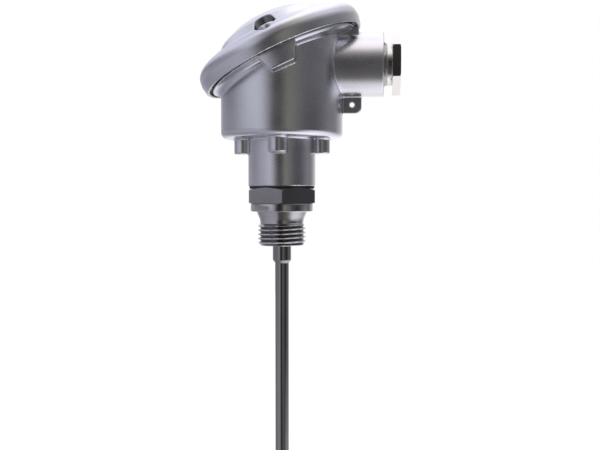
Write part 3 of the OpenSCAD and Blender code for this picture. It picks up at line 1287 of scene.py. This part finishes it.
def solid_mesh(node: str, flat: float = 0.6) -> bmesh.types.BMesh:
    """A merged copy of a node's solid, with its flat faces made whole.

    Args:
        node: the solid's name.
        flat: how far from flat a face may be, in degrees.

    Returns:
        The mesh.
    """
    bm = bmesh.new()
    bm.from_mesh(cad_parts[node].data)
    bmesh.ops.remove_doubles(bm, verts=bm.verts, dist=2e-6)
    bmesh.ops.dissolve_limit(bm, angle_limit=math.radians(flat), verts=bm.verts, edges=bm.edges)
    bmesh.ops.recalc_face_normals(bm, faces=bm.faces)
    return bm


@dataclass(frozen=True)
class Part:
    """A small piece shown by its own solid with the edges broken."""

    node: str
    body: Body
    finish: Finish
    edge: float = 0.08

    def build(self) -> Thing:
        """Makes the piece."""
        obj = settled(f"{self.node}_piece", solid_mesh(self.node), Matrix(), self.edge * MM)
        return dress(obj, self.finish, self.body, self.node)


@dataclass(frozen=True)
class SlottedScrew:
    """A slotted screw: the head from its solid, the shank with a cut thread."""

    node: str
    body: Body
    finish: Finish
    place: Matrix
    radius: float
    pitch: float
    tip: float
    neck: float

    def build(self) -> Thing:
        """Cuts the plain shank off the solid and puts a threaded one on.

        Returns:
            The screw.
        """
        bm = solid_mesh(self.node)
        cut_at = self.place @ Vector((0, 0, self.neck))
        along = (self.place.to_3x3() @ Vector((0, 0, 1))).normalized()
        geometry = list(bm.verts) + list(bm.edges) + list(bm.faces)
        bmesh.ops.bisect_plane(
            bm, geom=geometry, plane_co=cut_at * MM, plane_no=along, clear_inner=True)
        bmesh.ops.holes_fill(bm, edges=[e for e in bm.edges if e.is_boundary], sides=0)
        head = settled(f"{self.node}_piece", bm, Matrix(), 0.09 * MM)
        root = self.radius - self.pitch * 0.6
        thread = Thread(self.radius, root, self.pitch, self.tip + 0.3, self.neck - 0.1, 12)
        rows = [
            (0.0, self.tip, 0.0), (self.radius - self.pitch * 0.7, self.tip, 0.0),
            *thread.rows(), (root, self.neck + 0.05, 0.0), (0.0, self.neck + 0.05, 0.0),
        ]
        shank = Lathe(rows, 48).thread(thread).finish("shank", self.place)
        both = bmesh.new()
        both.from_mesh(head.data)
        both.from_mesh(shank.data)
        for piece in (head, shank):
            mesh = piece.data
            bpy.data.objects.remove(piece)
            bpy.data.meshes.remove(mesh)
        obj = settled(f"{self.node}_piece", both, Matrix(), 0.0)
        return dress(obj, self.finish, self.body, self.node)


@dataclass
class ProcessFitting:
    """The hexagon fitting: thread, relief, sealing collar, hexagon and inner shank."""

    across: float = 28.0
    turn: float = 36.3
    collar: float = 13.5
    bore: float = 4.05

    def build(self) -> Thing:
        """Turns the fitting, then cuts its flats and its thread.

        Returns:
            The fitting.
        """
        thread = Thread(10.4775, 9.3, 1.814, -14.6, -5.2)
        flats = Hexagon(self.across, self.turn, 4.0, 8.9, 3.45, 10.17)
        rows = [
            (self.bore, -14.6, 0.0), (9.2, -14.6, 0.0), *thread.rows(), (9.4, -4.9, 0.0),
            (9.4, -4.6, 0.0), (9.55, -3.7, 0.0), (9.8, -2.85, 0.0), (10.17, -2.0, 0.0),
            (10.54, -1.15, 0.0), (10.85, -0.3, 0.0), (11.0, 0.0, 0.0), (self.collar, 0.0, 0.35),
            (self.collar, 3.4, 0.35), (13.2, 3.4, 0.0), (13.75, 3.42, 0.0), *flats.rows(),
            (13.8, 10.2, 0.0), (11.85, 10.2, 0.0), (11.85, 23.6, 0.0), (11.4, 24.0, 0.0),
            (9.0, 24.0, 0.0), (9.0, 20.5, 0.0), (self.bore, 20.5, 0.0),
        ]
        lathe = Lathe(rows, 180).thread(thread).hexagon(flats)
        return dress(
            lathe.finish("hexagon_fitting", UPRIGHT), STEEL, Body.HEAD, "process_fitting")


@dataclass
class ProtectionTube:
    """The stepped tube that stands in the medium, with a closed round tip."""

    length: float = 160.0
    upper: float = 4.0
    lower: float = 3.0
    inside: float = 1.75

    def build(self) -> Thing:
        """Turns the tube.

        Returns:
            The tube.
        """
        rows = [
            (0.0, -self.length, 0.0), (self.lower, -self.length, 1.3), (self.lower, -22.3, 0.3),
            (self.upper, -21.0, 0.25), (self.upper, 20.0, 0.15), (self.inside, 20.0, 0.1),
            (self.inside, 2.5 - self.length, 0.5), (0.0, 2.5 - self.length, 0.0),
        ]
        obj = Lathe(rows, 96, 8).finish("stepped_tube", UPRIGHT)
        return dress(obj, PROBE, Body.HEAD, "protection_tube")


@dataclass
class PressureScrew:
    """The cable gland's nickel-plated screw: six flats, a neck and a fine thread."""

    across: float = 22.6

    def build(self) -> Thing:
        """Turns the screw, then cuts its flats and its thread.

        Returns:
            The screw.
        """
        thread = Thread(9.95, 9.1, 1.5, 36.9, 44.6, 12)
        flats = Hexagon(self.across, 0.0, 47.35, 50.1, 47.03, 50.47, 13.2)
        rows = [
            (6.0, 36.45, 0.15), (9.0, 36.45, 0.0), *thread.rows(), (9.05, 44.9, 0.2),
            (9.05, 47.0, 0.2), (11.25, 47.0, 0.0), *flats.rows(), (11.25, 50.5, 0.0),
            (7.5, 50.5, 0.3), (5.95, 48.9, 0.4),
        ]
        lathe = Lathe(rows, 180).thread(thread).hexagon(flats)
        obj = lathe.finish("gland_pressure_screw", ENTRY)
        return dress(obj, NICKEL, Body.GLAND_SCREW, "pressure_screw")


@dataclass(frozen=True)
class CoilSpring:
    """A coil spring over one of the insert's screws."""

    node: str
    side: int
    coil: float = 2.9
    wire: float = 0.38
    coils: float = 6.5
    low: float = 36.0
    high: float = 46.9
    fine: int = 28

    def build(self) -> Thing:
        """Winds the wire by a spin that climbs.

        Returns:
            The spring.
        """
        bm = bmesh.new()
        start = Matrix.Translation((self.coil, 0, self.low + self.wire))
        start = start @ Matrix.Rotation(math.pi / 2, 4, "X")
        ring = bmesh.ops.create_circle(bm, segments=12, radius=self.wire, matrix=start)["verts"]
        steps = round(self.coils * self.fine)
        climb = (self.high - self.low - 2 * self.wire) / steps
        edges = list({edge for vert in ring for edge in vert.link_edges})
        bmesh.ops.spin(
            bm, geom=ring + edges, cent=(0, 0, 0), axis=(0, 0, 1), dvec=(0, 0, climb),
            angle=math.tau * self.coils, steps=steps,
        )
        bmesh.ops.holes_fill(bm, edges=[e for e in bm.edges if e.is_boundary], sides=0)
        place = UPRIGHT @ Matrix.Translation((INSERT_SCREW * self.side, 0, 0))
        obj = settled(f"{self.node}_piece", bm, Matrix.Scale(MM, 4) @ place, 0.0)
        dress(obj, SPRING, Body.HEAD, self.node)
        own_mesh(obj)
        return obj


@dataclass(frozen=True)
class Lead:
    """A short sleeved wire from the sheath's mouth to one clamp."""

    number: int
    finish: Finish
    radius: float = 0.5

    def bearing(self) -> Matrix:
        """The turn to the wire's own clamp."""
        return Matrix.Rotation(math.radians(90 * self.number - 45), 4, "Z")

    def path(self) -> list[Vector]:
        """Points of the wire's middle line, in the upright axes.

        Returns:
            The points, from the sheath to the clamp.
        """
        turn = self.bearing()
        corners = [(0.7, 38.7), (0.75, 42.5), (1.6, 45.6), (4.2, 46.9), (7.0, 46.5), (8.3, 46.5)]
        points = []
        for i in range(len(corners) - 1):
            a, b, c, d = [
                Vector(corners[min(max(k, 0), len(corners) - 1)]) for k in range(i - 1, i + 3)
            ]
            for step in range(6):
                t = step / 6
                bend, twist = 2 * a - 5 * b + 4 * c - d, 3 * b - a - 3 * c + d
                spot = 0.5 * ((2 * b) + (c - a) * t + bend * t * t + twist * t ** 3)
                points.append(turn @ Vector((spot.x, 0, spot.y)))
        return points + [turn @ Vector((corners[-1][0], 0, corners[-1][1]))]

    def build(self) -> Thing:
        """Bridges rings along the path.

        Returns:
            The wire.
        """
        bm = bmesh.new()
        points = self.path()
        rings = []
        for i, point in enumerate(points):
            ahead = points[min(i + 1, len(points) - 1)] - points[max(i - 1, 0)]
            side = self.bearing() @ Vector((0, 1, 0))
            across = side.cross(ahead).normalized()
            turn = Matrix((side, across, side.cross(across))).transposed().to_4x4()
            place = Matrix.Translation(point) @ turn
            made = bmesh.ops.create_circle(bm, segments=14, radius=self.radius, matrix=place)
            rings.append(list({edge for vert in made["verts"] for edge in vert.link_edges}))
        for first, second in zip(rings, rings[1:]):
            bmesh.ops.bridge_loops(bm, edges=first + second)
        bmesh.ops.holes_fill(bm, edges=[e for e in bm.edges if e.is_boundary], sides=0)
        obj = settled(f"lead_{self.number}", bm, Matrix.Scale(MM, 4) @ UPRIGHT, 0.0)
        return dress(obj, self.finish, Body.INSERT)


@dataclass
class HeadAssembly:
    """The casting with its fitting, tube, seals and fixed screws."""

    def build(self) -> None:
        """Builds what stays still."""
        dress(HeadCasting().build(), CAST, Body.HEAD, "head_body")
        ProcessFitting().build()
        ProtectionTube().build()
        Part("neck_seal", Body.HEAD, FIBRE, 0.1).build()
        Part("gland_seat", Body.HEAD, ZINC).build()
        Part("gland_seal", Body.HEAD, RUBBER, 0.4).build()
        Part("ground_washer", Body.HEAD, ZINC, 0.06).build()
        ground = UPRIGHT @ Matrix.Translation((-EARTH_SCREW, EARTH_SCREW, 0))
        SlottedScrew("ground_screw", Body.HEAD, BRASS, ground, 1.5, 0.5, 39.0, 44.75).build()
        for side, name in ((-1, "left"), (1, "right")):
            place = UPRIGHT @ Matrix.Translation((INSERT_SCREW * side, 0, 0))
            node = f"insert_screw_{name}"
            SlottedScrew(node, Body.HEAD, ZINC, place, 2.0, 0.7, 26.4, 46.95).build()
            CoilSpring(f"insert_spring_{name}", side).build()


@dataclass
class LidAssembly:
    """The lid with its gasket and its two captive screws."""

    def build(self) -> None:
        """Builds what lifts off."""
        dress(LidCasting().build(), LID_CAST, Body.LID, "lid")
        Part("lid_gasket", Body.LID, RUBBER, 0.25).build()
        for side, ride, screw, across in (
            ("near", Body.NEAR_RIDE, Body.NEAR_SCREW, -LID_SCREW),
            ("far", Body.FAR_RIDE, Body.FAR_SCREW, LID_SCREW),
        ):
            Part(f"{side}_washer", ride, ZINC, 0.08).build()
            Part(f"{side}_clip", ride, FIBRE, 0.08).build()
            place = LID @ Matrix.Translation((0, across, 0))
            SlottedScrew(f"{side}_screw", screw, ZINC, place, 2.0, 0.7, -2.5, 7.98).build()


@dataclass
class GlandAssembly:
    """The pressure screw and the washer it pushes."""

    def build(self) -> None:
        """Builds what screws out of the cable entry."""
        PressureScrew().build()
        Part("gland_washer", Body.GLAND_RIDE, ZINC, 0.08).build()


@dataclass
class InsertAssembly:
    """The measuring insert: plate, sheath, ceramic block, terminals and leads."""

    def build(self) -> None:
        """Builds what the springs press down."""
        Part("insert_flange", Body.INSERT, ZINC, 0.1).build()
        Part("insert_sheath", Body.INSERT, SHEATH, 0.0).build()
        Part("sensor_element", Body.INSERT, CERAMIC, 0.05).build()
        Part("terminal_block", Body.INSERT, CERAMIC, 0.3).build()
        for i in range(1, 5):
            Part(f"terminal_{i}", Body.INSERT, BRASS, 0.12).build()
            Part(f"clamp_screw_{i}", Body(f"clamp_{i}"), ZINC, 0.08).build()
            Lead(i, RED_SLEEVE if i < 3 else WHITE_SLEEVE).build()


def main() -> None:
    """Builds the studio and the thermometer, assembly by assembly."""
    for assembly in (Studio(), HeadAssembly(), LidAssembly(), GlandAssembly(), InsertAssembly()):
        assembly.build()


if __name__ == "__main__":
    logging.basicConfig(level=logging.INFO, format="%(message)s")
    main()
